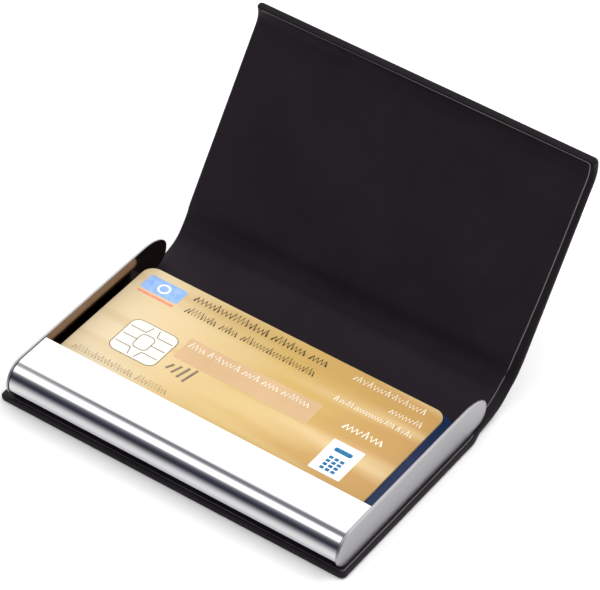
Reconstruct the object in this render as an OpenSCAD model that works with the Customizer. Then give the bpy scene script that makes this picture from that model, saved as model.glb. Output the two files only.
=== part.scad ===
// Business card case: a bent steel tray with two end caps on a wrap-round leather cover.
// Millimetres. +X along the case, +Y towards the spine, +Z up.
// The origin is the middle of the case's footprint on the underside of the bottom cover.

/* [Tray] */
// Width over the two end caps
case_w = 93.2; // [92:0.1:94.5]
// Depth of the end caps, front to rear
case_d = 64.4; // [63.5:0.1:70]
// Height of the end caps
case_h = 10.6; // [10:0.1:12]
// Thickness of an end cap's wall
cap_wall = 0.75; // [0.7:0.05:1]
// Thickness of the steel sheet
sheet = 0.5; // [0.3:0.1:0.6]
// How far the end caps stand proud of the sheet
cap_rim = 0.3; // [0.1:0.05:0.4]
// Depth of the flat top flange behind the rounded front
flange_d = 9.3; // [5:0.1:12]

/* [Cover] */
// Width of the bottom cover
bottom_w = 97.2; // [96:0.1:99]
// How far the bottom cover lies off the tray's centre
bottom_shift = -0.5; // [-0.8:0.1:0.8]
// Width of the lid
lid_w = 95.7; // [95:0.1:97]
// How far the lid lies off the tray's centre
lid_shift = 0.4; // [-0.6:0.1:0.6]
// Width of the leather spine
spine_w = 94.8; // [93:0.1:96]
// Thickness of the bottom cover
bottom_t = 1.7; // [1.6:0.1:2]
// Thickness of the lid
lid_t = 1.9; // [1.8:0.1:2.2]
// Thickness of the spine
spine_t = 1.5; // [1.3:0.1:1.7]
// Length of the flat part of the lid
lid_flat = 47.5; // [45:0.1:48]
// Inner radius of the lid's curled front edge
lip_r = 5.55; // [5:0.05:6.5]
// Angle that the curled edge turns through
lip_sweep = 60; // [30:1:75]
// Angle of the lid above the table as it stands open
lid_tilt = 60; // [55:1:70]

/* [Cards] */
// Card width
card_w = 85.6; // [84:0.1:86]
// Card depth
card_d = 53.98; // [52:0.01:54]
// Card thickness
card_t = 0.76; // [0.6:0.02:0.8]
// Card corner radius
card_r = 3.18; // [2:0.01:4]
// How far the top card lies off centre
top_shift = -1.7; // [-2.5:0.1:2.5]
// How far the second card lies off centre
second_shift = 0.7; // [-2.5:0.1:2.5]

/* [Hidden] */
$fn = 96;

// End cap profile, in (y, z)
cap_r = case_h / 2;
cap_y = -case_d / 2 + cap_r;
cap_z = bottom_t + cap_r;
cap_top = bottom_t + case_h;
tail_a = 10;
tail_b = 5.6;
tail = [case_d / 2 - tail_a, cap_top - tail_b];
heel_r = 3.6;
heel_rise = 4.3;
heel = [case_d / 2 - heel_r, bottom_t + heel_rise];
heel_start = 24;

// Tray interior
cap_in = case_w / 2 - cap_wall;
band_gap = 0.15;
band_w = 2 * (cap_in - band_gap);
band_r = cap_r - cap_rim;
band_top = cap_top - cap_rim;
floor_z = bottom_t + cap_rim;
floor_end = 24;
liner_t = 1.2;
liner_z = floor_z + sheet;
liner_d = 44;
foot_w = 3.4;
foot_d = 40;
tape_w = 80;
tape_d = 46;
lug_depth = 1.5;
lug_r = 3.2;

// Bottom cover
bottom_front = -31;
bottom_end = 26.5;
root_end = 28.5;
overlap = 1;
corner_r = 1.4;
turn_in = 1.1;
skin_t = 0.5;
board_t = 0.8;
lining_t = 0.4;
board_inset = 0.6;

// Crease points on the lining side of the spine, in (y, z)
crease_a = [28.8, 2];
crease_m = [33.8, 2.6];
bend = [38.6, 4.2];
crease_b = [42.3, 9.2];
lid_root = [43.2, 12.2];
spine_skin_t = 0.9;
gap_a = [0.3, 0.5];
gap_m = [0.42, 0.75];
gap_b = [0.25, 0.35];

// Lid layers, measured from the lining side towards the outside
lid_lining_t = 0.5;
lid_board_t = 0.8;
lid_gap = 0.1;
lip_start = 2.5;
lip_board_end = lip_sweep - 6;
lip_lining_end = lip_sweep - 4;
magnet = [12, 5, 0.8];
magnet_x = 24;
magnet_y = 42;

// Cards
card_front = -30.6;
stack_front = -29.8;
top_z = 7.3;
chip = [13, 12.4, 0.3];
chip_r = 2;
chip_proud = 0.02;
chip_at = [15.06, 23.89];

// ---- shared shapes ----

// Draws a profile in (y, z) and stretches it to a width w along x
module along_x(w) {
    translate([-w / 2, 0, 0]) rotate([90, 0, 90]) linear_extrude(w) children();
}

// A flat plate with its two front corners rounded
module front_rounded(w, y0, y1, r) {
    translate([-w / 2, y0 + r]) square([w, y1 - y0 - r]);
    translate([-w / 2 + r, y0]) square([w - 2 * r, 2 * r]);
    for (side = [-1, 1]) translate([side * (w / 2 - r), y0 + r]) circle(r);
}

module rounded_rect(w, d, r) {
    translate([r, 0]) square([w - 2 * r, d]);
    translate([0, r]) square([w, d - 2 * r]);
    for (x = [r, w - r]) for (y = [r, d - r]) translate([x, y]) circle(r);
}

function unit(v) = v / norm(v);
// Points out of the cover, away from the case, for a leg that runs along d
function outward(d) = [d[1], -d[0]];

// A straight layer of leather from p to q, from depth t0 to t1 under the lining side.
// trim0 and trim1 hold what each end is cut back by at the lining and at the outside.
module leg(p, q, t0, t1, trim0, trim1) {
    d = unit(q - p);
    n = outward(d);
    cut0 = [for (t = [t0, t1]) trim0[0] + (trim0[1] - trim0[0]) * t / spine_t];
    cut1 = [for (t = [t0, t1]) trim1[0] + (trim1[1] - trim1[0]) * t / spine_t];
    polygon([
        p + cut0[0] * d + t0 * n, q - cut1[0] * d + t0 * n,
        q - cut1[1] * d + t1 * n, p + cut0[1] * d + t1 * n
    ]);
}

// The outer corner between two legs at point p
module knee(p, d0, d1, t0, t1) {
    n0 = outward(d0);
    n1 = outward(d1);
    turn = acos(d0 * d1);
    mid = unit(n0 + n1);
    m0 = mid * t0 / cos(turn / 2);
    m1 = mid * t1 / cos(turn / 2);
    polygon([p + t0 * n0, p + m0, p + t0 * n1, p + t1 * n1, p + m1, p + t1 * n0]);
}

// ---- tray ----

module cap_profile() {
    translate([cap_y, cap_z]) circle(cap_r);
    polygon(concat(
        [[cap_y, cap_top], [cap_y, bottom_t], [heel_start, bottom_t]],
        [for (a = [-90:10:0]) heel + heel_r * [cos(a), sin(a)]],
        [for (a = [0:6:90]) tail + [tail_a * cos(a), tail_b * sin(a)]]
    ));
}

// Wall, a foot on the tray floor and a lug in the rounded front, cast in one piece
module end_cap() {
    translate([cap_in, 0, 0]) rotate([90, 0, 90]) linear_extrude(cap_wall) cap_profile();
    translate([cap_in - foot_w, cap_y + band_r, liner_z]) cube([foot_w, foot_d, liner_t]);
    translate([cap_in - lug_depth, 0, 0]) rotate([90, 0, 90]) linear_extrude(lug_depth)
        translate([cap_y, cap_z]) difference() {
            circle(band_r - sheet);
            circle(lug_r);
            translate([-band_r, -1]) square(2 * band_r);
            translate([0, -band_r]) square(2 * band_r);
        }
}

module left_end_cap() { color("silver") mirror([1, 0, 0]) end_cap(); }

module right_end_cap() { color("silver") end_cap(); }

module front_band() {
    color("gainsboro") along_x(band_w) {
        translate([cap_y, cap_z]) difference() {
            circle(band_r);
            circle(band_r - sheet);
            translate([0, -2 * band_r]) square(4 * band_r);
        }
        translate([cap_y, band_top - sheet]) square([flange_d, sheet]);
        translate([cap_y, floor_z]) square([floor_end - cap_y, sheet]);
    }
}

module floor_liner() {
    color("dimgray") translate([-(cap_in - foot_w), cap_y + band_r, liner_z])
        cube([2 * (cap_in - foot_w), liner_d, liner_t]);
}

module tray_tape() {
    color("ivory") translate([-tape_w / 2, cap_y, bottom_t])
        cube([tape_w, tape_d, floor_z - bottom_t]);
}

// ---- bottom cover ----

module bottom_skin() {
    color("#262126") difference() {
        union() {
            translate([bottom_shift, 0, 0]) linear_extrude(bottom_t)
                front_rounded(bottom_w, bottom_front, bottom_end, corner_r);
            translate([-spine_w / 2, bottom_end - overlap, 0])
                cube([spine_w, root_end - bottom_end + overlap, bottom_t]);
        }
        translate([bottom_shift, 0, skin_t]) linear_extrude(board_t)
            front_rounded(bottom_w - 2 * board_inset, bottom_front + board_inset,
                bottom_end - board_inset, corner_r - board_inset);
        translate([bottom_shift, 0, bottom_t - lining_t]) linear_extrude(lining_t + overlap)
            front_rounded(bottom_w - 2 * turn_in, bottom_front + turn_in,
                bottom_end, corner_r - turn_in);
        translate([-spine_w / 2 + turn_in, bottom_end - overlap, bottom_t - lining_t])
            cube([spine_w - 2 * turn_in, root_end, lining_t + overlap]);
    }
}

module bottom_board() {
    color("tan") translate([bottom_shift, 0, skin_t]) linear_extrude(board_t)
        front_rounded(bottom_w - 2 * board_inset, bottom_front + board_inset,
            bottom_end - board_inset, corner_r - board_inset);
}

module bottom_lining() {
    color("#2e292e") {
        translate([bottom_shift, 0, bottom_t - lining_t]) linear_extrude(lining_t)
            front_rounded(bottom_w - 2 * turn_in, bottom_front + turn_in,
                bottom_end, corner_r - turn_in);
        translate([-spine_w / 2 + turn_in, bottom_end - overlap, bottom_t - lining_t])
            cube([spine_w - 2 * turn_in, root_end - bottom_end + overlap, lining_t]);
    }
}

// ---- leather spine ----

module spine_skin_lower() {
    color("#262126") along_x(spine_w)
        leg(crease_a, crease_m, spine_t - spine_skin_t, spine_t, gap_a, gap_m);
}

module spine_lining_lower() {
    color("#2e292e") along_x(spine_w - 2 * turn_in)
        leg(crease_a, crease_m, 0, spine_t - spine_skin_t, gap_a, gap_m);
}

module spine_upper_layer(w, t0, t1) {
    along_x(w) {
        leg(crease_m, bend, t0, t1, gap_m, [0, 0]);
        leg(bend, crease_b, t0, t1, [0, 0], gap_b);
        knee(bend, unit(bend - crease_m), unit(crease_b - bend), t0, t1);
    }
}

module spine_skin_upper() {
    color("#262126") spine_upper_layer(spine_w, spine_t - spine_skin_t, spine_t);
}

module spine_lining_upper() {
    color("#2e292e") spine_upper_layer(spine_w - 2 * turn_in, 0, spine_t - spine_skin_t);
}

// ---- lid, in its own frame: y along the lid, z towards the case ----

module on_lid() {
    translate([lid_shift, lid_root[0], lid_root[1]]) rotate([lid_tilt, 0, 0]) children();
}

// Where the lowest leather edge of the lid lies in the lid's frame
root_v = crease_b - lid_root;
root_dir = unit([cos(lid_tilt), sin(lid_tilt)]);
root_y = root_v * root_dir;
root_z = root_v * [-root_dir[1], root_dir[0]];

module lid_root_layer(w, t0, t1) {
    p = [root_y, root_z];
    q = [0, 0];
    d = unit(q - p);
    n = outward(d);
    s0 = gap_b[0] + (gap_b[1] - gap_b[0]) * t0 / lid_t;
    s1 = gap_b[0] + (gap_b[1] - gap_b[0]) * t1 / lid_t;
    along_x(w) polygon([
        p + s0 * d + t0 * n, [0, -t0], [1, -t0], [1, -t1], [0, -t1],
        p + s1 * d + min(t1, spine_t) * n
    ]);
}

module lid_skin() {
    color("#262126") on_lid() {
        difference() {
            translate([-lid_w / 2, 0, -lid_t]) cube([lid_w, lid_flat - lid_gap, lid_t]);
            translate([-lid_w / 2 + turn_in, -1, -lid_lining_t])
                cube([lid_w - 2 * turn_in, lid_flat + 2, lid_t]);
            translate([-lid_w / 2 + board_inset, board_inset, -lid_lining_t - lid_board_t])
                cube([lid_w - 2 * board_inset, lid_flat - 2 * board_inset, lid_board_t + lid_t]);
        }
        difference() {
            lid_root_layer(spine_w, 0, lid_t);
            lid_root_layer(spine_w - 2 * turn_in, 0, lid_lining_t);
            translate([-lid_w / 2 + board_inset, board_inset, -lid_lining_t - lid_board_t])
                cube([lid_w - 2 * board_inset, lid_flat, lid_board_t + lid_t]);
        }
    }
}

module magnet_row(clear) {
    for (x = [-magnet_x, magnet_x])
        translate([x - magnet[0] / 2 - clear, magnet_y - magnet[1] / 2 - clear,
            -lid_lining_t - lid_board_t])
            cube([magnet[0] + 2 * clear, magnet[1] + 2 * clear, magnet[2]]);
}

module lid_board() {
    color("tan") on_lid() difference() {
        translate([-lid_w / 2 + board_inset, board_inset, -lid_lining_t - lid_board_t])
            cube([lid_w - 2 * board_inset, lid_flat - 2 * board_inset, lid_board_t]);
        magnet_row(0.05);
    }
}

module lid_magnets() { color("slategray") on_lid() magnet_row(0); }

module lid_lining() {
    color("#2e292e") on_lid() {
        translate([-lid_w / 2 + turn_in, 0, -lid_lining_t])
            cube([lid_w - 2 * turn_in, lid_flat - lid_gap, lid_lining_t]);
        lid_root_layer(spine_w - 2 * turn_in, 0, lid_lining_t);
    }
}

// A curled layer of the lip: depth t0 to t1, from angle a0 to a1 round the curl
module curl(w, t0, t1, a0, a1) {
    on_lid() translate([-w / 2, lid_flat, lip_r]) rotate([0, 90, 0])
        rotate([0, 0, a0]) rotate_extrude(angle = a1 - a0)
            translate([lip_r + t0, 0]) square([t1 - t0, w]);
}

module lip_skin() {
    color("#262126") difference() {
        curl(lid_w, 0, lid_t, lip_start, lip_sweep);
        curl(lid_w - 2 * turn_in, -1, lid_lining_t, 0, lip_lining_end);
        curl(lid_w - 2 * board_inset, lid_lining_t, lid_lining_t + lid_board_t, 0, lip_board_end);
    }
}

module lip_stiffener() {
    color("tan") curl(lid_w - 2 * board_inset, lid_lining_t, lid_lining_t + lid_board_t,
        lip_start, lip_board_end);
}

module lip_lining() {
    color("#2e292e") curl(lid_w - 2 * turn_in, 0, lid_lining_t, lip_start, lip_lining_end);
}

// ---- cards ----

module card(shift, z, t, front = card_front) {
    translate([shift - card_w / 2, front, z]) linear_extrude(t)
        rounded_rect(card_w, card_d, card_r);
}

module at_chip() {
    translate([top_shift - card_w / 2 + chip_at[0] - chip[0] / 2,
        card_front + card_d - chip_at[1] - chip[1] / 2, top_z + chip_proud - chip[2]])
        linear_extrude(chip[2]) rounded_rect(chip[0], chip[1], chip_r);
}

module gold_card() {
    color("goldenrod") difference() {
        card(top_shift, top_z - card_t, card_t);
        at_chip();
    }
}

module gold_card_chip() { color("khaki") at_chip(); }

module blue_card() { color("navy") card(second_shift, top_z - 2 * card_t, card_t); }

module card_stack() {
    stack_z = liner_z + liner_t;
    color("lightsteelblue") card(0, stack_z, top_z - 2 * card_t - stack_z, stack_front);
}

front_band();
left_end_cap();
right_end_cap();
floor_liner();
tray_tape();
bottom_skin();
bottom_board();
bottom_lining();
spine_skin_lower();
spine_lining_lower();
spine_skin_upper();
spine_lining_upper();
lid_skin();
lid_board();
lid_magnets();
lid_lining();
lip_skin();
lip_stiffener();
lip_lining();
gold_card();
gold_card_chip();
blue_card();
card_stack();
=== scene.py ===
import math
import random

import bmesh
import bpy
from mathutils import Matrix, Vector, noise


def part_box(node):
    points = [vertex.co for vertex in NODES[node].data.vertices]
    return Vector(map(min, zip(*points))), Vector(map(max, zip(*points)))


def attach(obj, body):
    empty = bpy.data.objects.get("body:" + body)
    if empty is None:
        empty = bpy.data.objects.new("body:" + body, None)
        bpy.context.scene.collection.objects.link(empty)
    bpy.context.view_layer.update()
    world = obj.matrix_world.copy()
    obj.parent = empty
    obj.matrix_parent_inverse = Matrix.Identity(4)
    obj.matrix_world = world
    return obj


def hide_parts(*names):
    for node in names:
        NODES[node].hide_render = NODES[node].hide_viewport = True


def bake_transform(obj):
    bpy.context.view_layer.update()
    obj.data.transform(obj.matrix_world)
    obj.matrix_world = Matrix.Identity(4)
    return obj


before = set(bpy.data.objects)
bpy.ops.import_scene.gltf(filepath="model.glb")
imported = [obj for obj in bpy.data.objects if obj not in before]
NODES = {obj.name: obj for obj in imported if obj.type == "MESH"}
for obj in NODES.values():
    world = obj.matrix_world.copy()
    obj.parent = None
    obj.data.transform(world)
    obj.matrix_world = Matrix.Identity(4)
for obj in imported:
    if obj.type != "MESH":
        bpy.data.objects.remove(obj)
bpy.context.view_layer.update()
MM = 0.001

# ---------------------------------------------------------------- sizes, in millimetres

# Tray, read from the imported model
CAP_LO, CAP_HI = (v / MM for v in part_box("right_end_cap"))
BAND_LO, BAND_HI = (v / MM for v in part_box("front_band"))
CARD_LO, CARD_HI = (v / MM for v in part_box("gold_card"))
BLUE_LO, BLUE_HI = (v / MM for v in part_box("blue_card"))
STACK_LO, STACK_HI = (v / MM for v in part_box("card_stack"))
CHIP_LO, CHIP_HI = (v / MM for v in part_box("gold_card_chip"))

CAP_WALL = 0.75
CAP_R = (CAP_HI.z - CAP_LO.z) / 2
CAP_FRONT = (CAP_LO.y + CAP_R, CAP_LO.z + CAP_R)
TAIL_A, TAIL_B = 10, 5.6
TAIL = (CAP_HI.y - TAIL_A, CAP_HI.z - TAIL_B)
HEEL_R, HEEL_RISE, HEEL_START = 3.6, 4.3, 24
HEEL = (CAP_HI.y - HEEL_R, CAP_LO.z + HEEL_RISE)
UNDER_STEP, TOP_STEP = 8.0, 7.0
EDGE_R = 0.55
FOOT_W, FOOT_T, FOOT_LEN = 3.4, 1.2, 40

SHEET = 0.5
BAND_R = (BAND_HI.z - BAND_LO.z) / 2
FLANGE_D = 9.3
FLANGE_END = CAP_FRONT[0] + FLANGE_D

# Cover
BOTTOM_T, SPINE_T, LID_T = 1.7, 1.5, 1.9
BOTTOM_SIDES, SPINE_SIDES, LID_SIDES = (-49.1, 48.1), (-47.4, 47.4), (-47.45, 48.25)
BOTTOM_FRONT, BOTTOM_END = -31.0, 26.5
CREASE_A, CREASE_M = (28.8, 2.0), (33.8, 2.6)
BEND = (38.6, 4.2)
CREASE_B, LID_ROOT = (42.3, 9.2), (43.2, 12.2)
LID_TILT = math.radians(60)
LID_FLAT = 47.5
NARROW_FROM, NARROW_OVER = 2.5, 5.0
WIDEN_FROM, WIDEN_OVER = 10, 11.0
THIN_OVER = 1.5
THICKEN_FROM, THICKEN_OVER = 3, 5.0
LIP_R, LIP_SWEEP = 5.55, math.radians(60)
TURN_IN, LIP_TURN_IN = 0.9, 0.4
CORNER_R, LIP_CORNER_R, END_SOFT = 1.4, 0.7, 0.45

# Cards
CARD_R = 3.18

# Stage
FLOOR_SIZE, FLOOR_DROP = 4000, 0.05
# Span in front of the case over which the floor's painted dark reflection deepens
FLOOR_FADE = (36, 100)

# ---------------------------------------------------------------- camera

FOCAL_PX = 3784.5
FRAME_W = 600
SENSOR = 36.0
CAM_AZ, CAM_EL, CAM_ROLL = (math.radians(a) for a in (29.85, 41.21, 5.8))
CAM_DISTANCE = 909.8
CAM_TARGET = Vector((-7.77, 33.49, 10.8))


def make_camera():
    back = Vector((math.sin(CAM_AZ) * math.cos(CAM_EL), -math.cos(CAM_AZ) * math.cos(CAM_EL),
                   math.sin(CAM_EL)))
    level = (-back).cross(Vector((0, 0, 1))).normalized()
    upright = level.cross(-back)
    right = level * math.cos(CAM_ROLL) + upright * math.sin(CAM_ROLL)
    up = upright * math.cos(CAM_ROLL) - level * math.sin(CAM_ROLL)
    data = bpy.data.cameras.new("camera")
    data.sensor_width = SENSOR
    data.lens = FOCAL_PX * SENSOR / FRAME_W
    data.clip_end = 10
    camera = bpy.data.objects.new("camera", data)
    bpy.context.scene.collection.objects.link(camera)
    turn = Matrix((right, up, back)).transposed().to_4x4()
    camera.matrix_world = Matrix.Translation((CAM_TARGET + back * CAM_DISTANCE) * MM) @ turn
    bpy.context.scene.camera = camera


# ---------------------------------------------------------------- mesh helpers

DOUBLED = 0.0005


def new_object(name, points, faces, materials=(), face_material=None):
    """A mesh object from points in millimetres."""
    mesh = bpy.data.meshes.new(name)
    mesh.from_pydata([tuple(c * MM for c in p) for p in points], [], faces)
    obj = bpy.data.objects.new(name, mesh)
    bpy.context.scene.collection.objects.link(obj)
    for m in materials:
        mesh.materials.append(m)
    if face_material:
        mesh.polygons.foreach_set("material_index", face_material)
    mesh.update()
    return obj


def tidy_mesh(obj, sharp_deg):
    """Joins doubled points, faces outwards, and shades smooth between sharp edges."""
    bm = bmesh.new()
    bm.from_mesh(obj.data)
    bmesh.ops.remove_doubles(bm, verts=bm.verts, dist=DOUBLED * MM)
    bmesh.ops.recalc_face_normals(bm, faces=bm.faces)
    limit = math.radians(sharp_deg)
    for f in bm.faces:
        f.smooth = True
    for e in bm.edges:
        e.smooth = len(e.link_faces) != 2 or e.calc_face_angle(0) < limit
    bm.to_mesh(obj.data)
    bm.free()
    return obj


def join(name, objs):
    """One object from several, with their materials."""
    bpy.ops.object.select_all(action="DESELECT")
    for o in objs:
        o.select_set(True)
    bpy.context.view_layer.objects.active = objs[0]
    if len(objs) > 1:
        bpy.ops.object.join()
    objs[0].name = name
    return objs[0]


def arc(cx, cy, r, a0, a1, n):
    """Points on a round stretch from angle a0 to a1, in degrees."""
    return [(cx + r * math.cos(math.radians(a0 + (a1 - a0) * i / n)),
             cy + r * math.sin(math.radians(a0 + (a1 - a0) * i / n))) for i in range(n + 1)]


def inset(outline, d):
    """A closed convex outline moved inwards by d."""
    n = len(outline)
    area = sum(outline[i][0] * outline[(i + 1) % n][1] - outline[(i + 1) % n][0] * outline[i][1]
               for i in range(n))
    turn = 1 if area > 0 else -1
    moved = []
    for i, p in enumerate(outline):
        a, b = outline[i - 1], outline[(i + 1) % n]
        t = Vector((b[0] - a[0], b[1] - a[1])).normalized()
        moved.append((p[0] - turn * t.y * d, p[1] + turn * t.x * d))
    return moved


def lathe_rings(rings, close_first=True, close_last=True):
    """Faces that join equal closed rings one after another."""
    points = [p for ring in rings for p in ring]
    n = len(rings[0])
    faces = []
    for k in range(len(rings) - 1):
        for i in range(n):
            j = (i + 1) % n
            faces.append((k * n + i, k * n + j, (k + 1) * n + j, (k + 1) * n + i))
    if close_first:
        faces.append(tuple(range(n - 1, -1, -1)))
    if close_last:
        faces.append(tuple((len(rings) - 1) * n + i for i in range(n)))
    return points, faces


def rounded_outline(x0, y0, x1, y1, r, n=12):
    return (arc(x1 - r, y1 - r, r, 0, 90, n) + arc(x0 + r, y1 - r, r, 90, 180, n)
            + arc(x0 + r, y0 + r, r, 180, 270, n) + arc(x1 - r, y0 + r, r, 270, 360, n))


def slab(name, outline, z0, z1, soft, material_):
    """A flat plate with softly rounded edges, from z0 to z1."""
    rings = []
    for z, d in ((z0, soft), (z0 + soft * 0.3, soft * 0.3), (z0 + soft, 0), (z1 - soft, 0),
                 (z1 - soft * 0.3, soft * 0.3), (z1, soft)):
        rings.append([(p[0], p[1], z) for p in inset(outline, d)])
    points, faces = lathe_rings(rings)
    return tidy_mesh(new_object(name, points, faces, [material_]), 40)


# ---------------------------------------------------------------- materials

def material(name, **sockets):
    m = bpy.data.materials.new(name)
    m.use_nodes = True
    bsdf = m.node_tree.nodes["Principled BSDF"]
    for key, value in sockets.items():
        bsdf.inputs[key].default_value = value
    return m, m.node_tree, bsdf


def add_node(tree, kind, inputs=None, **settings):
    node = tree.nodes.new(kind)
    for key, value in settings.items():
        setattr(node, key, value)
    for key, value in (inputs or {}).items():
        if hasattr(value, "is_linked"):
            tree.links.new(value, node.inputs[key])
        else:
            node.inputs[key].default_value = value
    return node


def object_coords(tree):
    return add_node(tree, "ShaderNodeTexCoord").outputs["Object"]


def scaled(tree, vector, scale):
    return add_node(tree, "ShaderNodeMapping", {"Vector": vector, "Scale": scale}).outputs["Vector"]


def noise_of(tree, vector, scale, detail=3, rough=0.5):
    return add_node(tree, "ShaderNodeTexNoise",
                    {"Vector": vector, "Scale": scale, "Detail": detail, "Roughness": rough}
                    ).outputs["Fac"]


def ramp(tree, fac, stops):
    node = add_node(tree, "ShaderNodeValToRGB", {"Fac": fac})
    elements = node.color_ramp.elements
    while len(elements) < len(stops):
        elements.new(0.5)
    for e, (pos, colour) in zip(elements, stops):
        e.position = pos
        e.color = (*colour, 1)
    return node.outputs["Color"]


def math_of(tree, op, a, b=0.0):
    return add_node(tree, "ShaderNodeMath", {0: a, 1: b}, operation=op).outputs[0]


def mixed(tree, fac, a, b):
    node = add_node(tree, "ShaderNodeMix", data_type="RGBA")
    for key, value in ((0, fac), (6, a), (7, b)):
        if hasattr(value, "is_linked"):
            tree.links.new(value, node.inputs[key])
        else:
            node.inputs[key].default_value = value if key == 0 else (*value, 1)
    return node.outputs[2]


def bump(tree, bsdf, height, distance_mm, strength):
    node = add_node(tree, "ShaderNodeBump",
                    {"Height": height, "Distance": distance_mm * MM, "Strength": strength})
    tree.links.new(node.outputs["Normal"], bsdf.inputs["Normal"])


def leather(name, dark, light, rough, pebble_mm, depth_mm):
    """Imitation leather: fine pebbled grain, slow colour changes and a little sheen."""
    m, t, bsdf = material(name)
    bsdf.inputs["Sheen Weight"].default_value = 0.01
    bsdf.inputs["Sheen Roughness"].default_value = 0.4
    bsdf.inputs["Specular IOR Level"].default_value = 0.12
    co = object_coords(t)
    patches = noise_of(t, co, 60, 4, 0.6)
    t.links.new(ramp(t, patches, [(0.3, dark), (0.7, light)]), bsdf.inputs["Base Color"])
    uneven = noise_of(t, co, 320, 3)
    rough_out = add_node(t, "ShaderNodeMapRange",
                         {"Value": uneven, "To Min": rough - 0.05, "To Max": rough + 0.07})
    t.links.new(rough_out.outputs["Result"], bsdf.inputs["Roughness"])
    cells = add_node(t, "ShaderNodeTexVoronoi", {"Vector": co, "Scale": 1000 / pebble_mm})
    fine = noise_of(t, co, 2600 / pebble_mm, 4)
    height = math_of(t, "ADD", math_of(t, "MULTIPLY", cells.outputs["Distance"], 0.7), fine)
    bump(t, bsdf, height, depth_mm, 0.5)
    return m


def metal(name, colour, rough, brush_axis=None, brush=0.0):
    """Steel or plated metal with faint handling marks, brushed along one axis if asked."""
    m, t, bsdf = material(name, Metallic=1.0)
    co = object_coords(t)
    cloudy = noise_of(t, co, 45, 3)
    t.links.new(ramp(t, cloudy, [(0.25, [c * 0.97 for c in colour]), (0.75, colour)]),
                bsdf.inputs["Base Color"])
    stretch = [2500.0, 2500.0, 2500.0]
    if brush_axis is not None:
        stretch[brush_axis] = 40.0
    grain = noise_of(t, scaled(t, co, stretch), 1.0, 2)
    rough_out = add_node(t, "ShaderNodeMapRange",
                         {"Value": math_of(t, "ADD", math_of(t, "MULTIPLY", grain, 0.5),
                                           math_of(t, "MULTIPLY", cloudy, 0.5)),
                          "To Min": rough * 0.8, "To Max": rough * 1.25})
    t.links.new(rough_out.outputs["Result"], bsdf.inputs["Roughness"])
    if brush:
        bump(t, bsdf, grain, 0.01, brush)
    return m


def printed(name, dark, light, rough=0.3, scale=700):
    """Ink or plastic with a fine print dither."""
    m, t, bsdf = material(name, Roughness=rough)
    bsdf.inputs["Specular IOR Level"].default_value = 0.15
    t.links.new(ramp(t, noise_of(t, object_coords(t), scale, 2), [(0.35, dark), (0.65, light)]),
                bsdf.inputs["Base Color"])
    return m


def gold_print():
    """Metallic gold card print: pale at the left, deeper at the right, with slanting rays; the pale
    left end is partly a painted highlight.
    """
    m, t, bsdf = material("gold_print", Roughness=0.34)
    bsdf.inputs["Specular IOR Level"].default_value = 0.2
    co = object_coords(t)
    xyz = add_node(t, "ShaderNodeSeparateXYZ", {"Vector": co})
    left, right = CARD_LO.x * MM, CARD_HI.x * MM
    across = add_node(t, "ShaderNodeMapRange", {"Value": xyz.outputs["X"], "From Min": left,
                                                "From Max": right}).outputs["Result"]
    soft = noise_of(t, co, 22, 3, 0.55)
    shade = math_of(t, "ADD", across, math_of(t, "MULTIPLY", math_of(t, "SUBTRACT", soft, 0.5), 0.5))
    # Gold print deepening to the right; the palest stops at the left also hold a painted highlight.
    base = ramp(t, shade, [(0.0, (0.76, 0.64, 0.43)), (0.27, (0.70, 0.52, 0.26)),
                           (0.55, (0.62, 0.42, 0.14)), (0.85, (0.54, 0.32, 0.11)),
                           (1.0, (0.53, 0.31, 0.11))])
    turned = add_node(t, "ShaderNodeMapping", {"Vector": co, "Rotation": (0, 0, math.radians(-38)),
                                               "Scale": (7, 62, 1)}).outputs["Vector"]
    rays = noise_of(t, turned, 1.6, 2, 0.45)
    light = ramp(t, rays, [(0.48, (0, 0, 0)), (0.72, (1, 1, 1))])
    glow = mixed(t, math_of(t, "MULTIPLY", light, 0.8), base, (0.78, 0.61, 0.34))
    dark = ramp(t, rays, [(0.28, (1, 1, 1)), (0.46, (0, 0, 0))])
    t.links.new(mixed(t, math_of(t, "MULTIPLY", dark, 0.6), glow, (0.52, 0.32, 0.09)),
                bsdf.inputs["Base Color"])
    bump(t, bsdf, noise_of(t, co, 1800, 2), 0.004, 0.25)
    return m


STEEL = metal("polished_steel", (0.66, 0.66, 0.67), 0.03, brush_axis=0)
SATIN = metal("satin_cap", (0.345, 0.34, 0.352), 0.36, brush_axis=1, brush=0.2)
CAP_INSIDE = metal("cap_inside", (0.25, 0.165, 0.135), 0.14)
COVER = leather("cover_leather", (0.0080, 0.0058, 0.0084), (0.0114, 0.0086, 0.0120), 0.50, 0.38, 0.05)
LINING = leather("lining", (0.0096, 0.0066, 0.0100), (0.0128, 0.0092, 0.0134), 0.56, 0.30, 0.03)
CUT_EDGE = leather("lining_cut_edge", (0.12, 0.11, 0.115), (0.18, 0.165, 0.17), 0.60, 0.25, 0.02)
GOLD = gold_print()
CARD_SIDE = printed("card_side", (0.74, 0.58, 0.33), (0.82, 0.66, 0.40), 0.4)
INK = printed("dark_ink", (0.045, 0.032, 0.020), (0.07, 0.05, 0.03), 0.45)
GREY_INK = printed("grey_ink", (0.20, 0.155, 0.10), (0.26, 0.20, 0.13), 0.4)
WHITE_INK = printed("white_ink", (0.93, 0.88, 0.78), (1.0, 0.96, 0.88), 0.35)
PEACH_INK = printed("peach_ink", (0.62, 0.41, 0.22), (0.66, 0.45, 0.25), 0.35, 90)
PANEL_INK = printed("panel_blue_ink", (0.24, 0.42, 0.80), (0.34, 0.52, 0.87), 0.35)
CORAL_INK = printed("coral_ink", (0.80, 0.25, 0.16), (0.87, 0.33, 0.22), 0.35)
LABEL = printed("label_white", (0.92, 0.93, 0.94), (1.0, 1.0, 1.0), 0.45)
LABEL_INK = printed("label_ink", (0.015, 0.13, 0.30), (0.03, 0.20, 0.40), 0.4)
CHIP_PLATE = metal("chip_plate", (0.64, 0.625, 0.57), 0.34)
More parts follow.
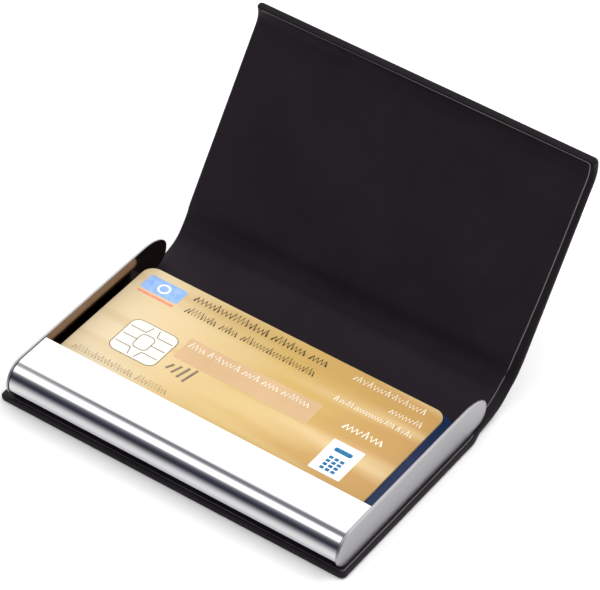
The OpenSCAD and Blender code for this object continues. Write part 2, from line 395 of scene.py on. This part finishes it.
CHIP_LINE = printed("chip_line", (0.16, 0.11, 0.06), (0.22, 0.16, 0.09), 0.5)
BLUE = printed("blue_print", (0.008, 0.020, 0.065), (0.012, 0.028, 0.090), 0.30, 60)
STACK = printed("stack_card", (0.05, 0.055, 0.07), (0.08, 0.085, 0.10), 0.5)


# ---------------------------------------------------------------- tray

def cap_outline():
    """Front round, straight underside, rounded heel, elliptical tail and straight top, in (y, z)."""
    points = arc(*CAP_FRONT, CAP_R, 90, 270, 48)
    points += [(CAP_FRONT[0] + k * UNDER_STEP, CAP_LO.z) for k in range(1, 6)]
    points += [(HEEL_START, CAP_LO.z)]
    points += arc(*HEEL, HEEL_R, -84, 0, 16)
    points += [(TAIL[0] + TAIL_A * math.cos(a), TAIL[1] + TAIL_B * math.sin(a))
               for a in (math.radians(4 * k) for k in range(0, 23))]
    points += [(TAIL[0] - TOP_STEP * k, CAP_HI.z) for k in range(1, 7)]
    return points


def make_cap(side, name, node):
    """A satin plate with a rounded outer edge and a dark polished inside, and its foot."""
    outline = cap_outline()
    x_in, x_out = CAP_HI.x - CAP_WALL, CAP_HI.x
    profile = ((x_in, 0.10), (x_in + 0.04, 0.03), (x_in + 0.12, 0), (x_out - EDGE_R, 0),
               (x_out - EDGE_R * 0.62, 0.04), (x_out - EDGE_R * 0.29, 0.16),
               (x_out - EDGE_R * 0.08, 0.34), (x_out, EDGE_R), (x_out, 2.0))
    rings = [[(side * x, y, z) for y, z in inset(outline, d)] for x, d in profile]
    points, faces = lathe_rings(rings)
    n = len(outline)
    mats = [0] * (n * (len(profile) - 1)) + [1, 0]
    wall = tidy_mesh(new_object(name, points, faces, [SATIN, CAP_INSIDE], mats), 28)
    foot_z = BAND_LO.z + SHEET
    xs = sorted((side * (x_in - FOOT_W), side * (x_in - 0.02)))
    foot = slab(name + "_foot", rounded_outline(xs[0], CAP_FRONT[0] + 5, xs[1],
                CAP_FRONT[0] + 5 + FOOT_LEN, 0.4, 4), foot_z, foot_z + FOOT_T, 0.1, CAP_INSIDE)
    cap = join(name, [wall, foot])
    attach(cap, "tray")
    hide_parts(node)


def make_band():
    """The bent sheet: flange, rounded front and floor, with its edges eased."""
    cy, cz = CAP_FRONT
    half = SHEET / 2
    r = BAND_R - half
    line = [(FLANGE_END, BAND_HI.z - half), (FLANGE_END - 0.12, BAND_HI.z - half)]
    line += [(cy + FLANGE_D * k / 6, BAND_HI.z - half) for k in range(5, 0, -1)]
    line += arc(cy, cz, r, 90, 270, 96)
    line += [(cy + (BAND_HI.y - cy) * k / 6, BAND_LO.z + half) for k in range(1, 7)]
    ring_out, ring_in = [], []
    for i, p in enumerate(line):
        a, b = line[max(i - 1, 0)], line[min(i + 1, len(line) - 1)]
        t = Vector((b[0] - a[0], b[1] - a[1])).normalized()
        w = half * 0.62 if i in (0, len(line) - 1) else half
        ring_out.append((p[0] + t.y * w, p[1] - t.x * w))
        ring_in.append((p[0] - t.y * w, p[1] + t.x * w))
    loop = ring_out + ring_in[::-1]
    x = BAND_HI.x
    rings = [[(s, y, z) for y, z in loop] for s in (-x, -x + 0.06, -x / 3, x / 3, x - 0.06, x)]
    points, faces = lathe_rings(rings)
    band = tidy_mesh(new_object("front_band_sheet", points, faces, [STEEL]), 30)
    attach(band, "tray")
    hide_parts("front_band")


# ---------------------------------------------------------------- cover path

def lid_point(along, inward=0.0):
    """A point in (y, z) at a distance along the lid from its root, and inward from the lining."""
    c, s = math.cos(LID_TILT), math.sin(LID_TILT)
    return (LID_ROOT[0] + along * c - inward * s, LID_ROOT[1] + along * s + inward * c)


def smooth_line(points, reach):
    """A polyline whose corners are rounded over the given reach each side."""
    out = [Vector(points[0])]
    for i in range(1, len(points) - 1):
        a, p, b = (Vector(points[k]) for k in (i - 1, i, i + 1))
        d0 = min(reach[i], (p - a).length / 2)
        d1 = min(reach[i], (b - p).length / 2)
        s, e = p + (a - p).normalized() * d0, p + (b - p).normalized() * d1
        for k in range(9):
            t = k / 8
            out.append(s * (1 - t) ** 2 + p * 2 * t * (1 - t) + e * t * t)
    out.append(Vector(points[-1]))
    return out


def resample(points, step):
    """Points at an even step along a line, as (distance, point, direction)."""
    lengths = [0.0]
    for a, b in zip(points, points[1:]):
        lengths.append(lengths[-1] + (b - a).length)
    total = lengths[-1]
    n = max(2, round(total / step))
    out = []
    k = 0
    for i in range(n + 1):
        d = total * i / n
        while k < len(points) - 2 and lengths[k + 1] < d:
            k += 1
        seg = max(lengths[k + 1] - lengths[k], 1e-9)
        out.append((d, points[k].lerp(points[k + 1], min((d - lengths[k]) / seg, 1))))
    result = []
    for i, (d, p) in enumerate(out):
        a, b = out[max(i - 1, 0)][1], out[min(i + 1, len(out) - 1)][1]
        result.append((d, p, (b - a).normalized()))
    return result


def cover_line():
    """The lining side of the open cover, from the bottom's front edge to the end of the lip."""
    corners = [(BOTTOM_FRONT, BOTTOM_T), (BOTTOM_END - 0.6, BOTTOM_T), CREASE_A, CREASE_M, BEND,
               CREASE_B, LID_ROOT, lid_point(LID_FLAT)]
    reach = [0, 1.0, 1.5, 2.0, 2.2, 2.4, 2.0, 0]
    line = smooth_line(corners, reach)
    for k in range(1, 25):
        a = LIP_SWEEP * k / 24
        line.append(Vector(lid_point(LID_FLAT + LIP_R * math.sin(a), LIP_R * (1 - math.cos(a)))))
    return line


PATH_STEP = 0.5
PATH = resample(cover_line(), PATH_STEP)
TOTAL = PATH[-1][0]


def past_y(y):
    """The distance along the cover where it first passes y."""
    return next(d for d, p, _ in PATH if p.x > y)


def at_height(z, y_min):
    """The distance along the cover where it first rises past z behind y_min."""
    return next(d for d, p, _ in PATH if p.y > z and p.x > y_min)


# Where the cover is cut into its parts, and the stretches listed for a blend from one body to the
# next; no blend is built from them
ROOT_Y = 30.0
SEAM_Z, SEAM_BEHIND = 6.36, 38
LID_BEHIND = 40
MID_ALONG = 24
FOLD_BLEND = (0.6, 7.2)
LIP_BLEND = (-1.6, 3.2)

D_ROOT = past_y(ROOT_Y)
D_SEAM = at_height(SEAM_Z, SEAM_BEHIND)
D_KINK = past_y(BOTTOM_END)
D_LID = at_height(LID_ROOT[1], LID_BEHIND)
D_MID = D_LID + MID_ALONG
D_LIP = D_LID + LID_FLAT


def ease(t):
    t = min(max(t, 0), 1)
    return t * t * (3 - 2 * t)


def cover_sides(d):
    """The x of the cover's left and right edges at a distance along it."""
    narrow = ease((d - D_KINK + NARROW_FROM) / NARROW_OVER)
    widen = ease((d - D_LID + WIDEN_FROM) / WIDEN_OVER)
    return [b + (s - b) * narrow + (l - s) * widen
            for b, s, l in zip(BOTTOM_SIDES, SPINE_SIDES, LID_SIDES)]


def cover_thickness(d):
    if d < D_KINK + THIN_OVER:
        return BOTTOM_T + (SPINE_T - BOTTOM_T) * ease((d - D_KINK) / THIN_OVER)
    return SPINE_T + (LID_T - SPINE_T) * ease((d - D_LID + THICKEN_FROM) / THICKEN_OVER)


def end_rounding(from_end, radius):
    """How far the side of a rounded corner draws in, this far from the end."""
    if from_end >= radius:
        return 0.0
    return radius - math.sqrt(max(radius ** 2 - (radius - from_end) ** 2, 0))


def softness(x, d, strength):
    """Slight unevenness of the leather: broad waves, and fine folds along the spine."""
    broad = noise.noise(Vector((x * 0.03, d * 0.05, 3.1)))
    spine = math.exp(-((d - (D_SEAM + 1.5)) / 5.5) ** 2)
    folds = noise.noise(Vector((x * 0.035, d * 0.9, 8.4)))
    return strength * (0.06 * broad + 0.05 * spine * folds)


def stations(d0, d1):
    """The path's steps from d0 to d1, with both ends on it exactly."""
    inner = [(d, p, t) for d, p, t in PATH if d0 + 1e-6 < d < d1 - 1e-6]

    def exact(d):
        k = min(range(len(PATH) - 1), key=lambda i: abs(PATH[i][0] - d))
        k = min(k, len(PATH) - 2)
        a, b = PATH[k], PATH[k + 1]
        f = (d - a[0]) / (b[0] - a[0])
        return (d, a[1].lerp(b[1], f), a[2].lerp(b[2], f).normalized())
    return [exact(d0)] + inner + [exact(d1)]


EDGE_STEPS = 7
ACROSS = 60
END_MARGIN = 0.2
FAR = 99.0


def end_steps():
    """Fine steps that round off an end, as distances from it."""
    return [CORNER_R * (1 - math.cos(math.radians(90 * k / 8))) for k in range(9)]


def skin_ring(d, p, t, draw_in, thin):
    """One closed cross-section of the leather: lining side, rolled edge, outside, rolled edge."""
    outward = Vector((t.y, -t.x))
    thick = cover_thickness(d)
    left, right = cover_sides(d)
    centre = (left + right) / 2
    half = (right - left) / 2 - draw_in
    roll = thick / 2 * thin
    mid = p + outward * thick / 2
    ring = []
    flat = half - roll
    for i in range(ACROSS + 1):
        x = centre - flat + 2 * flat * i / ACROSS
        w = mid - outward * (roll - softness(x, d, 1) * thin)
        ring.append((x, w.x, w.y))
    for k in range(1, EDGE_STEPS):
        a = math.radians(180 * k / EDGE_STEPS)
        w = mid - outward * roll * math.cos(a)
        ring.append((centre + flat + roll * math.sin(a), w.x, w.y))
    for i in range(ACROSS + 1):
        x = centre + flat - 2 * flat * i / ACROSS
        w = mid + outward * (roll + softness(x, d, 1) * 0.5 * thin)
        ring.append((x, w.x, w.y))
    for k in range(1, EDGE_STEPS):
        a = math.radians(180 * k / EDGE_STEPS)
        w = mid + outward * roll * math.cos(a)
        ring.append((centre - flat - roll * math.sin(a), w.x, w.y))
    return ring


def rounded_end_stations(d0, d1, round_start, round_end):
    """Stations with finer steps where an end is rounded off, as (station, distance from it)."""
    marks = []
    if round_start:
        marks += [(d0 + s, s) for s in end_steps()]
    for d, _, _ in stations(d0, d1):
        if round_start and d < d0 + CORNER_R + END_MARGIN:
            continue
        if round_end and d > d1 - CORNER_R - END_MARGIN:
            continue
        marks.append((d, FAR))
    if round_end:
        marks += [(d1 - s, s) for s in reversed(end_steps())]
    out = []
    for d, gap in marks:
        k = min(max(int(d / TOTAL * (len(PATH) - 1)), 0), len(PATH) - 2)
        a, b = PATH[k], PATH[k + 1]
        f = (d - a[0]) / (b[0] - a[0])
        out.append(((d, a[1].lerp(b[1], f), a[2].lerp(b[2], f).normalized()), gap))
    return out


def make_skin(name, d0, d1, round_start=False, round_end=False):
    rings = []
    for (d, p, t), gap in rounded_end_stations(d0, d1, round_start, round_end):
        thin = 1 - end_rounding(gap, END_SOFT) / (cover_thickness(d) / 2)
        radius = LIP_CORNER_R if round_end else CORNER_R
        rings.append(skin_ring(d, p, t, end_rounding(gap, radius), thin))
    points, faces = lathe_rings(rings, round_start, round_end)
    return tidy_mesh(new_object(name, points, faces, [COVER]), 60)


LINING_PROUD, LINING_DEPTH = 0.10, 0.35
RIGHT_INSET, ROOT_PULL, PULL_REACH = 1.4, 0.95, 16.0
CUT_BAND, CUT_DROP = 0.2, 0.05
LINING_CORNER_R = CORNER_R * 0.6


def lining_inset(d, side):
    """How far the lining's cut edge lies inside the cover's edge; it wanders where it turns up."""
    wander = 0.05 * noise.noise(Vector((side * 5.0, d * 0.25, 1.7)))
    if side < 0 or d < D_KINK:
        return TURN_IN + wander
    return RIGHT_INSET + ROOT_PULL * math.exp(-max(d - D_LID, 0) / PULL_REACH) + wander


def lining_x(lo, hi, i):
    """Even steps across the lining, with one narrow step at each side for its cut edge."""
    if i in (0, ACROSS):
        return lo if i == 0 else hi
    return lo + CUT_BAND + (hi - lo - 2 * CUT_BAND) * (i - 1) / (ACROSS - 2)


def make_lining(name, d0, d1, trim_start=0.0, trim_end=0.0):
    """The lining sheet, a little proud of the turned-in edge, with its pale cut edge."""
    rings = []
    start, end = d0 + trim_start, d1 - trim_end
    for (d, p, t), gap in rounded_end_stations(start, end, bool(trim_start), bool(trim_end)):
        outward = Vector((t.y, -t.x))
        draw = end_rounding(gap, LINING_CORNER_R)
        left, right = cover_sides(d)
        lo = left + lining_inset(d, -1) + draw
        hi = right - lining_inset(d, 1) - draw
        ring = []
        for i in range(ACROSS + 1):
            x = lining_x(lo, hi, i)
            lift = LINING_PROUD + softness(x, d, 1)
            if i in (0, ACROSS):
                lift -= CUT_DROP
            w = p - outward * lift
            ring.append((x, w.x, w.y))
        for i in range(ACROSS + 1):
            x = lining_x(lo, hi, ACROSS - i)
            w = p + outward * (LINING_DEPTH - softness(x, d, 1))
            ring.append((x, w.x, w.y))
        rings.append(ring)
    points, faces = lathe_rings(rings, bool(trim_start), bool(trim_end))
    n = len(rings[0])
    mats = []
    for _ in range(len(rings) - 1):
        mats += [1 if i in (ACROSS - 1, ACROSS) else 0 for i in range(n)]
    mats += [1] * (len(faces) - len(mats))
    obj = new_object(name, points, faces, [LINING, CUT_EDGE], mats)
    return tidy_mesh(obj, 50)


def point_at(d):
    _, p, _ = stations(d, d + 1)[0]
    return (0, p.x * MM, p.y * MM)


def make_cover():
    parts = (
        ("bottom", 0, D_ROOT, True, False, ["bottom_skin", "spine_skin_lower"],
         ["bottom_lining", "spine_lining_lower"]),
        ("fold", D_ROOT, D_SEAM, False, False, ["spine_skin_upper"], ["spine_lining_upper"]),
        ("lid", D_SEAM, D_MID, False, False, ["lid_skin"], ["lid_lining"]),
        ("lip", D_MID, TOTAL, False, True, ["lip_skin", "lip_stiffener"], ["lip_lining"]),
    )
    blends = {
        "fold": ("tray", "spine_upper", D_ROOT + FOLD_BLEND[0], D_ROOT + FOLD_BLEND[1]),
        "lid": ("spine_upper", "lid", D_SEAM, D_LID),
        "lip": ("lid", "lip", D_LIP + LIP_BLEND[0], D_LIP + LIP_BLEND[1]),
    }
    for part, d0, d1, first, last, skin_nodes, lining_nodes in parts:
        skin = make_skin("cover_skin_" + part, d0, d1, first, last)
        lining = make_lining("cover_lining_" + part, d0, d1, TURN_IN if first else 0,
                             LIP_TURN_IN if last else 0)
        for piece, nodes, slot in ((skin, skin_nodes, "cover_leather"),
                                   (lining, lining_nodes, "lining")):
            if part in blends:
                a, b, s, e = blends[part]
                point_at(s)
                point_at(e)
                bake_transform(piece)
            else:
                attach(piece, "tray")
            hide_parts(*nodes)


# ---------------------------------------------------------------- cards

DECAL, SINK = 0.02, 0.01
CARD_SOFT = 0.06
PLATE_THICK, OUTLINE_THICK = 0.03, 0.012


def patch(outline, material_, lift=0.0, thick=DECAL):
    """A printed patch on the gold card, from card millimetres: x from the left, y from the rear."""
    z0 = CARD_HI.z - SINK + lift
    ring = [(CARD_LO.x + x, CARD_HI.y - y) for x, y in outline]
    rings = [[(x, y, z) for x, y in ring] for z in (z0, z0 + SINK + thick)]
    points, faces = lathe_rings(rings)
    return tidy_mesh(new_object("patch", points, faces, [material_]), 20)


def box_patch(x0, y0, x1, y1, material_, r=0.2, lift=0.0):
    return patch(rounded_outline(x0, y0, x1, y1, r, 4), material_, lift)


def stroke(points, width, material_, lift=0.0):
    """A narrow flat strip through points, in card millimetres."""
    z0 = CARD_HI.z - SINK + lift
    z1 = z0 + SINK + DECAL
    rings = []
    for i, p in enumerate(points):
        a, b = points[max(i - 1, 0)], points[min(i + 1, len(points) - 1)]
        t = Vector((b[0] - a[0], b[1] - a[1])).normalized() * width / 2
        lx, ly = CARD_LO.x + p[0] - t.y, CARD_HI.y - p[1] - t.x
        rx, ry = CARD_LO.x + p[0] + t.y, CARD_HI.y - p[1] + t.x
        rings.append([(lx, ly, z0), (lx, ly, z1), (rx, ry, z1), (rx, ry, z0)])
    points_, faces = lathe_rings(rings)
    return tidy_mesh(new_object("stroke", points_, faces, [material_]), 20)


def greek_line(rng, x0, x1, y, height, material_, words, lift=0.0, weight=0.3):
    """A line of print as scribbled words: no letters, only the rhythm of words."""
    lines = []
    gap = height * 0.6
    pitch = ((x1 - x0) - gap * (len(words) - 1)) / sum(words)
    x = x0
    for count in words:
        zigzag = []
        for k in range(2 * count + 1):
            tall = height * (1.0 if rng.random() < 0.3 else 0.7)
            zigzag.append((x + pitch * k / 2, y + height - (tall if k % 2 else 0.0)))
        lines.append(stroke(zigzag, weight, material_, lift))
        x += pitch * count + gap
    return lines


def make_gold_card():
    body = slab("gold_card_body",
                rounded_outline(CARD_LO.x, CARD_LO.y, CARD_HI.x, CARD_HI.y, CARD_R, 16),
                CARD_LO.z, CARD_HI.z, CARD_SOFT, GOLD)
    body.data.materials.append(CARD_SIDE)
    for f in body.data.polygons:
        if abs(f.normal.z) < 0.5:
            f.material_index = 1
    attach(body, "top_card")
    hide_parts("gold_card")

    rng = random.Random(7)
    art = [box_patch(23.2, 15.6, 60.9, 23.6, PEACH_INK, 0.3)]
    art += greek_line(rng, 24.2, 58.2, 16.5, 2.1, WHITE_INK, [4, 8, 4, 4, 7], DECAL)
    art += greek_line(rng, 15.7, 53.7, 1.6, 2.6, INK, [18, 8, 4], weight=0.55)
    art += greek_line(rng, 16.3, 53.1, 6.4, 2.5, INK, [9, 5, 22], weight=0.42)
    art += greek_line(rng, 61.3, 81.1, 1.6, 2.1, WHITE_INK, [20])
    art += greek_line(rng, 74.1, 82.7, 6.1, 2.0, WHITE_INK, [9])
    art += greek_line(rng, 61.5, 82.7, 10.4, 1.9, WHITE_INK, [26])
    art += greek_line(rng, 68.3, 78.9, 16.6, 2.5, WHITE_INK, [8], weight=0.55)
    art += greek_line(rng, 2.5, 29.3, 33.6, 2.2, GREY_INK, [18, 9], weight=0.26)
    art += [box_patch(2.4, 2.6, 13.3, 8.0, PANEL_INK, 0.9)]
    ring = arc(7.85, 5.3, 1.45, 0, 360, 24)
    art += [stroke(ring, 0.55, WHITE_INK, DECAL)]
    art += [box_patch(2.6, 8.7, 13.1, 9.5, CORAL_INK, 0.35)]
    for k in range(4):
        x, reach = 24.7 + 1.9 * k, 1.1 + 0.55 * k
        art += [stroke([(x - 0.5, 26.8 + reach), (x + 0.5, 26.8 - reach)], 0.7, GREY_INK)]
    art += [box_patch(69.0, 23.3, 77.6, 34.8, LABEL, 0.25)]
    for row in range(4):
        for column in range(3):
            x, y = 71.3 + 1.5 * column, 28.6 + 1.35 * row
            art += [box_patch(x, y, x + 1.1, y + 0.95, LABEL_INK, 0.2, DECAL)]
    art += [box_patch(70.9, 25.4, 75.7, 26.8, LABEL_INK, 0.5, DECAL)]
    print_work = join("gold_card_print", art)
    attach(print_work, "top_card")


def make_chip():
    """The contact plate: a dark outline, a pale plate and the thin lines between its pads."""
    left, rear = CHIP_LO.x - CARD_LO.x, CARD_HI.y - CHIP_HI.y
    w, h = CHIP_HI.x - CHIP_LO.x, CHIP_HI.y - CHIP_LO.y
    rim, line, lift = 0.22, 0.2, 0.04
    parts = [patch(rounded_outline(left - rim, rear - rim, left + w + rim, rear + h + rim, 2.4, 10),
                   CHIP_LINE, 0.0, OUTLINE_THICK),
             patch(rounded_outline(left, rear, left + w, rear + h, 2.2, 10),
                   CHIP_PLATE, 0.0, PLATE_THICK)]
    cx, cy = left + w / 2, rear + h / 2
    pad_w, pad_h, row, waist, margin = 2.0, 2.6, 3.2, 1.6, 0.6
    middle = rounded_outline(cx - pad_w, cy - pad_h, cx + pad_w, cy + pad_h, 1.3, 8)
    parts.append(stroke(middle + [middle[0]], line, CHIP_LINE, lift))
    for s in (-1, 1):
        edge = cx + s * w / 2
        for y in (cy - row, cy, cy + row):
            reach = cx + s * (pad_w if abs(y - cy) < pad_h else waist)
            parts.append(stroke([(edge - s * 0.5, y), (reach, y)], line, CHIP_LINE, lift))
        for y, end in ((cy - row, rear + margin), (cy + row, rear + h - margin)):
            parts.append(stroke([(cx + s * waist, y), (cx + s * 0.9, end)], line, CHIP_LINE, lift))
    chip = join("chip_contacts", parts)
    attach(chip, "top_card")
    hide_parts("gold_card_chip")


def make_lower_cards():
    blue = slab("blue_card_body",
                rounded_outline(BLUE_LO.x, BLUE_LO.y, BLUE_HI.x, BLUE_HI.y, CARD_R, 16),
                BLUE_LO.z, BLUE_HI.z, CARD_SOFT, BLUE)
    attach(blue, "second_card")
    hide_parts("blue_card")
    rng = random.Random(3)
    count, stray_x, stray_y = 9, 0.25, 0.12
    pitch = (STACK_HI.z - STACK_LO.z) / count
    cards = []
    for k in range(count):
        dx, dy = rng.uniform(-stray_x, stray_x), rng.uniform(-stray_y, 0.0)
        z = STACK_LO.z + pitch * k
        cards.append(slab("stack_card", rounded_outline(
            STACK_LO.x + stray_x + dx, STACK_LO.y + stray_y + dy, STACK_HI.x - stray_x + dx,
            STACK_HI.y - 0.1 + dy, CARD_R, 8), z + 0.01, z + pitch - 0.02, 0.03, STACK))
    pile = join("card_pile", cards)
    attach(pile, "cards_below")
    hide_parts("card_stack")


# ---------------------------------------------------------------- hidden CAD parts

def finish_inner_parts():
    felt = leather("felt", (0.010, 0.010, 0.011), (0.022, 0.022, 0.024), 0.9, 0.12, 0.06)
    board = printed("greyboard", (0.30, 0.27, 0.22), (0.42, 0.38, 0.32), 0.85)
    tape = printed("foam_tape", (0.72, 0.70, 0.64), (0.80, 0.78, 0.72), 0.8)
    plated = metal("magnet_plating", (0.60, 0.60, 0.62), 0.25)
    for node, m in (("floor_liner", felt), ("bottom_board", board), ("lid_board", board),
                    ("tray_tape", tape), ("lid_magnets", plated)):
        data = NODES[node].data
        data.materials.clear()
        data.materials.append(m)


# ---------------------------------------------------------------- stage

def make_floor():
    """A pale table; in glossy rays its far front is painted darker, a painted reflection of the dark
    room in front.
    """
    m, t, bsdf = material("floor", Roughness=0.6)
    co = object_coords(t)
    pale = ramp(t, noise_of(t, co, 3, 2), [(0.3, (0.955, 0.955, 0.955)), (0.7, (0.965, 0.965, 0.965))])
    y = add_node(t, "ShaderNodeSeparateXYZ", {"Vector": co}).outputs["Y"]
    ahead = add_node(t, "ShaderNodeMapRange", {"Value": y, "From Min": -FLOOR_FADE[0] * MM,
                                               "From Max": -FLOOR_FADE[1] * MM}).outputs["Result"]
    # Painted reflection: glossy rays see the floor darker towards the front, standing in for the dark
    # room there.
    painted_dark_reflection = ramp(t, ahead, [(0.0, (1, 1, 1)), (0.1, (0.78, 0.78, 0.79)),
                             (0.3, (0.42, 0.42, 0.43)), (1.0, (0.09, 0.09, 0.11))])
    glossy = add_node(t, "ShaderNodeLightPath").outputs["Is Glossy Ray"]
    t.links.new(mixed(t, glossy, pale, painted_dark_reflection), bsdf.inputs["Base Color"])
    bsdf.inputs["Specular IOR Level"].default_value = 0.2
    half, low = FLOOR_SIZE, -FLOOR_DROP
    floor = new_object("floor", [(-half, -half, low), (half, -half, low), (half, half, low),
                                 (-half, half, low)], [(0, 1, 2, 3)], [m])


def area_light(name, place, aim, size, power):
    data = bpy.data.lights.new(name, "AREA")
    data.shape = "RECTANGLE"
    data.size, data.size_y = size
    data.energy = power
    light = bpy.data.objects.new(name, data)
    bpy.context.scene.collection.objects.link(light)
    light.location = place
    light.rotation_euler = (Vector(aim) - Vector(place)).to_track_quat("-Z", "Y").to_euler()
    light.visible_glossy = False


def make_lights():
    world = bpy.data.worlds.new("studio")
    world.use_nodes = True
    t = world.node_tree
    plain = t.nodes["Background"]
    plain.inputs["Color"].default_value = (1, 1, 1, 1)
    co = add_node(t, "ShaderNodeTexCoord").outputs["Generated"]
    axes = add_node(t, "ShaderNodeSeparateXYZ", {"Vector": co})
    shade = ramp(t, axes.outputs["Z"], [
        (0.0, (0.022, 0.022, 0.034)), (0.24, (0.030, 0.031, 0.042)), (0.39, (0.068, 0.070, 0.085)),
        (0.53, (0.20, 0.20, 0.22)), (0.61, (0.75, 0.75, 0.75)), (0.66, (1, 1, 1)), (0.84, (1, 1, 1)),
        (0.885, (0.40, 0.40, 0.41)), (0.915, (0.15, 0.15, 0.16))])
    rear = add_node(t, "ShaderNodeMapRange", {"Value": axes.outputs["Y"], "From Min": 0.02,
                                              "From Max": 0.26}).outputs["Result"]
    mirrored = add_node(t, "ShaderNodeBackground", {"Color": mixed(t, rear, shade, (0.95, 0.95, 0.95)),
                                                    "Strength": 2.0})
    glossy = add_node(t, "ShaderNodeLightPath").outputs["Is Glossy Ray"]
    both = add_node(t, "ShaderNodeMixShader", {0: glossy, 1: plain.outputs[0], 2: mirrored.outputs[0]})
    t.links.new(both.outputs[0], t.nodes["World Output"].inputs["Surface"])
    bpy.context.scene.world = world
    area_light("key", (0.30, 0.38, 0.75), (0, 0.02, 0), (0.7, 0.6), 3.2)
    area_light("fill", (-0.25, -0.2, 0.8), (0, 0.02, 0.01), (0.7, 0.6), 0.9)
    bpy.context.scene.view_settings.view_transform = "Standard"


make_camera()
make_cap(-1, "left_cap", "left_end_cap")
make_cap(1, "right_cap", "right_end_cap")
make_band()
make_cover()
make_gold_card()
make_chip()
make_lower_cards()
finish_inner_parts()
make_floor()
make_lights()
